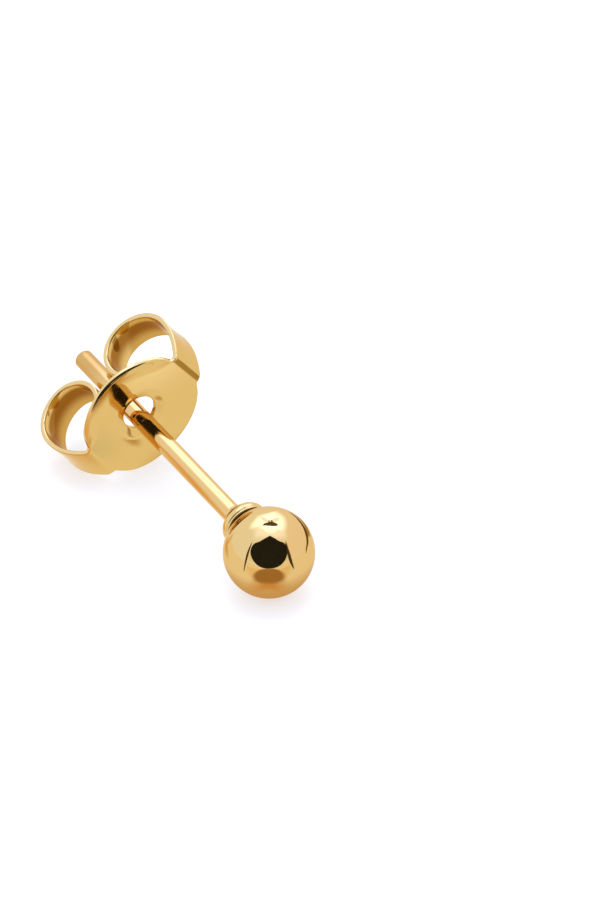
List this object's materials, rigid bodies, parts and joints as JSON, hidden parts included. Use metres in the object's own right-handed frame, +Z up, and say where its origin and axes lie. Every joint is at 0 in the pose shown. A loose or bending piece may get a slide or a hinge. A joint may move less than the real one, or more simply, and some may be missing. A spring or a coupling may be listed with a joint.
{
  "type": "ball stud earring",
  "caption": "Stud earring lying on a surface: a polished gold ball soldered through a cup to a plain ear post, with a butterfly back that slides on the post.",
  "frame": {"origin": "on the surface that the earring lies on, under the middle of its bounding box", "axes": "+Z up; the post runs along +Y, from the ball to its free tip, and leans up by 4.47 degrees. The stud is rolled over by 37.3 degrees about its post, so the strap on the +X side is the higher one"},
  "size_m": [0.0054, 0.0134, 0.0045],
  "materials": {
    "polished_gold": "mirror polished gold-tone plating",
    "sheet_gold": "bright gold-tone plating on pressed sheet, with sheared edges"
  },
  "bodies": {
    "stud": {"ball_stud": "polished_gold"},
    "back": {"butterfly_back": "sheet_gold"}
  },
  "joints": [
    {"name": "back_slide", "type": "slide", "parent": "stud", "child": "back", "axis": [0, 0.997, 0.0779], "range_m": [-0.00625, 0.004]}
  ]
}
